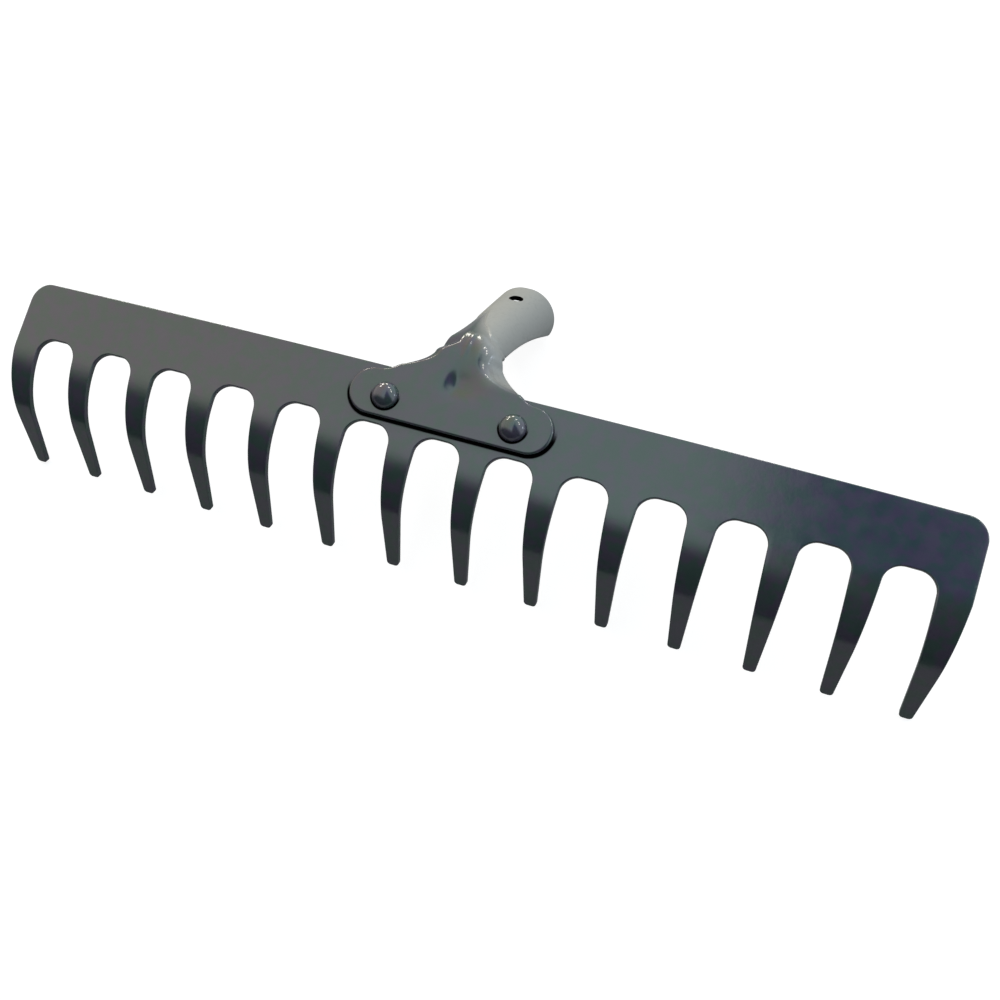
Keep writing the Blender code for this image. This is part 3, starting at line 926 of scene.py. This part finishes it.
def enamel(name, colour, roughness, painted_shade=None, tube_finish_and_light=False):
    """Glossy stoving enamel on pressed steel, with black painted shade, and a duller tube with
    painted light.
    """
    material = bpy.data.materials.new(name)
    nodes = Nodes(material)
    place, across, height = blade_place(nodes)
    patches = nodes.noise(place, *PATCH_NOISE)
    mottle = nodes.noise(place, *MOTTLE_NOISE)
    paint = tinted_paint(nodes, place, colour, patches, mottle)
    gloss = nodes.ramp(mottle, *GLOSS_SPAN, roughness - SMOOTHER, roughness + ROUGHER)
    black = 0.0
    if tube_finish_and_light:
        paint, gloss = dull_tube_and_painted_light(nodes, place, patches, paint, gloss)
    # Painted shadow below the foot plate and the rivet heads, and painted shade in the nail hole, in
    # black
    if painted_shade:
        black = painted_shade(nodes, place, across, height)
        paint = nodes.mix(black, paint, PAINTED_SHADE_COLOUR)
        gloss = nodes.math("MAXIMUM", gloss, nodes.math("MULTIPLY", black, PAINTED_SHADE_ROUGHNESS))
    peel = nodes.math("MULTIPLY", nodes.noise(place, *PEEL_NOISE), PEEL_SHARE)
    uneven = nodes.math("ADD", peel, nodes.noise(place, *RIPPLE_NOISE))
    bump = nodes.add("ShaderNodeBump", Strength=BUMP_STRENGTH, Distance=BUMP_DISTANCE, Height=uneven)
    # Black metal mirrors next to nothing, which keeps the painted shadow and shade dark
    shader = nodes.add(
        "ShaderNodeBsdfPrincipled",
        Base_Color=paint,
        Roughness=gloss,
        Metallic=black,
        Specular_IOR_Level=1.0,
        Normal=bump.outputs["Normal"],
    )
    nodes.add("ShaderNodeOutputMaterial", Surface=shader.outputs["BSDF"])
    return material


def shadow_arc(nodes, aside, above, radius, width):
    """Share of painted shadow along the lower side of an arc, by the distances aside and above its
    centre.
    """
    beyond = nodes.math("SUBTRACT", nodes.away(aside, above), radius)
    line = nodes.ramp(beyond, width, width * SHADOW_BLACK_SHARE)
    below = nodes.ramp(above, *[radius * share for share in SHADOW_BELOW])
    return nodes.math("MULTIPLY", line, below)


def plate_shadow(nodes, _place, across, height):
    """Painted shadow on the blade along the lower edge of the foot plate."""
    radius = PLATE_HEIGHT / 2
    aside = nodes.math("SUBTRACT", across, PLATE_LENGTH / 2 - radius)
    aside = nodes.math("MAXIMUM", aside, 0.0)
    above = nodes.math("SUBTRACT", height, PLATE_ABOVE_GAPS + radius)
    return shadow_arc(nodes, aside, above, radius, PLATE_SHADOW_WIDTH)


def nail_hole_shade(nodes, place):
    """Share of painted shade in the nail hole."""
    centre, along, _ = spine(NAIL_WAY)
    centre, along = REST @ centre, REST.to_3x3() @ along
    upward = nodes.math("SUBTRACT", nodes.along(place, along), centre.dot(along))
    off_centre = nodes.away(nodes.parts(place)["X"], upward)
    return nodes.ramp(off_centre, *[NAIL_HOLE_DIAMETER * share for share in NAIL_HOLE_SHADE])


def socket_shadows(nodes, place, across, height):
    """Painted shadow on the foot plate under the rivet heads, and painted shade in the nail hole."""
    aside = nodes.math("SUBTRACT", across, RIVET_X)
    above = nodes.math("SUBTRACT", height, RIVET_Z)
    shadow_under_heads = shadow_arc(nodes, aside, above, RIVET_HEAD_DIAMETER / 2, RIVET_SHADOW_WIDTH)
    return nodes.math("MAXIMUM", shadow_under_heads, nail_hole_shade(nodes, place))


# Stage

def make_floor():
    """A pale surface that the camera sees white and gloss mirrors weakly."""
    mesh_build = bmesh.new()
    bmesh.ops.create_grid(mesh_build, x_segments=1, y_segments=1, size=FLOOR_HALF_SIZE)
    floor = piece_from("floor", mesh_build)
    material = bpy.data.materials.new("white_surface")
    nodes = Nodes(material)
    rays = nodes.add("ShaderNodeLightPath")
    place = nodes.parts(nodes.add("ShaderNodeTexCoord").outputs["Object"])
    back = nodes.ramp(place["Y"], *FLOOR_BACK)
    right = nodes.math("MULTIPLY", nodes.ramp(place["X"], *FLOOR_RIGHT), back)
    mirrored = nodes.ramp(right, 0.0, 1.0, FLOOR_MIRRORED, FLOOR_MIRRORED_RIGHT)
    mirrored = nodes.math("MULTIPLY", rays.outputs["Is Glossy Ray"], mirrored)
    seen = nodes.math("MAXIMUM", rays.outputs["Is Camera Ray"], rays.outputs["Is Transmission Ray"])
    seen = nodes.math("MAXIMUM", seen, mirrored)
    shader = nodes.add(
        "ShaderNodeBsdfPrincipled",
        Base_Color=(FLOOR_ALBEDO, FLOOR_ALBEDO, FLOOR_ALBEDO, 1.0),
        Roughness=FLOOR_ROUGHNESS,
        Emission_Color=(1.0, 1.0, 1.0, 1.0),
        Emission_Strength=nodes.math("MULTIPLY", seen, FLOOR_GLOW),
    )
    nodes.add("ShaderNodeOutputMaterial", Surface=shader.outputs["BSDF"])
    floor.data.materials.append(material)


def make_world():
    """A room with a wide soft light up to the left, pale walls behind and dusk to the right."""
    world = bpy.data.worlds.new("studio")
    bpy.context.scene.world = world
    nodes = Nodes(world)
    direction = nodes.parts(nodes.add("ShaderNodeTexCoord").outputs["Generated"])
    x, y = direction["X"], direction["Y"]
    dusk = nodes.mix(nodes.ramp(y, *FRONT_TO_RIGHT), FRONT_COLOUR, RIGHT_COLOUR)
    soft_light = nodes.mix(nodes.ramp(x, *SOFT_LEFT_TO_RIGHT), SOFT_LIGHT_LEFT, SOFT_LIGHT_RIGHT)
    slanted = nodes.math("ADD", y, nodes.math("MULTIPLY", x, SOFT_SLANT))
    leftward = nodes.ramp(x, *SOFT_ENDS_RIGHT)
    over = nodes.math("MULTIPLY", leftward, nodes.ramp(slanted, *SOFT_ENDS_FRONT))
    room = nodes.mix(over, dusk, soft_light)
    walls = nodes.mix(nodes.ramp(x, *BEHIND_LEFT_TO_RIGHT), BEHIND_LEFT_COLOUR, BEHIND_RIGHT_COLOUR)
    rightward = nodes.math("MULTIPLY", nodes.math("MAXIMUM", x, 0.0), BEHIND_SLANT)
    behind = nodes.ramp(nodes.math("ADD", y, rightward), *BEHIND_BEGINS)
    room = nodes.mix(behind, room, walls)
    seen = nodes.add("ShaderNodeLightPath").outputs["Is Camera Ray"]
    shown = nodes.mix(seen, room, (1.0, 1.0, 1.0))
    background = nodes.add("ShaderNodeBackground", Color=shown, Strength=1.0)
    nodes.add("ShaderNodeOutputWorld", Surface=background.outputs["Background"])


def area_lamp(name, place, aim, size, watts, colour):
    """Rectangular lamp at a place, turned to shine at the aim."""
    data = bpy.data.lights.new(name, "AREA")
    data.shape = "RECTANGLE"
    data.size, data.size_y = size
    data.energy = watts
    data.color = colour
    lamp = bpy.data.objects.new(name, data)
    bpy.context.scene.collection.objects.link(lamp)
    lamp.location = place
    lamp.rotation_euler = (Vector(aim) - Vector(place)).to_track_quat("-Z", "Y").to_euler()


def make_lamps():
    """Small bright panes round the room, from the left behind to the right."""
    for number, (azimuth, height, watts, colour) in enumerate(PANES):
        angle = math.radians(azimuth)
        place = (PANE_DISTANCE * math.sin(angle), PANE_DISTANCE * math.cos(angle), height)
        area_lamp(f"pane_{number + 1}", place, PANE_AIM, PANE_SIZE, watts, colour)


def make_camera():
    data = bpy.data.cameras.new("camera")
    data.lens = LENS_MM
    data.sensor_width = SENSOR_MM
    camera = bpy.data.objects.new("camera", data)
    bpy.context.scene.collection.objects.link(camera)
    camera.location = CAMERA_PLACE
    camera.rotation_euler = [math.radians(angle) for angle in CAMERA_TURN_DEG]
    bpy.context.scene.camera = camera


def main():
    bpy.context.scene.view_settings.view_transform = "Standard"
    make_camera()
    make_world()
    make_lamps()
    make_floor()
    blade_paint = enamel("blade_enamel", BLADE_ENAMEL, SHEET_ROUGHNESS, plate_shadow)
    socket_paint = enamel("socket_enamel", SOCKET_ENAMEL, SHEET_ROUGHNESS, socket_shadows, tube_finish_and_light=True)
    rivet_paint = enamel("rivet_enamel", RIVET_ENAMEL, RIVET_ROUGHNESS)
    make_toothed_blade(blade_paint)
    make_handle_socket(socket_paint)
    make_rivet("left_rivet", -RIVET_X, "rivet_left", rivet_paint)
    make_rivet("right_rivet", RIVET_X, "rivet_right", rivet_paint)
    bpy.context.view_layer.update()


main()
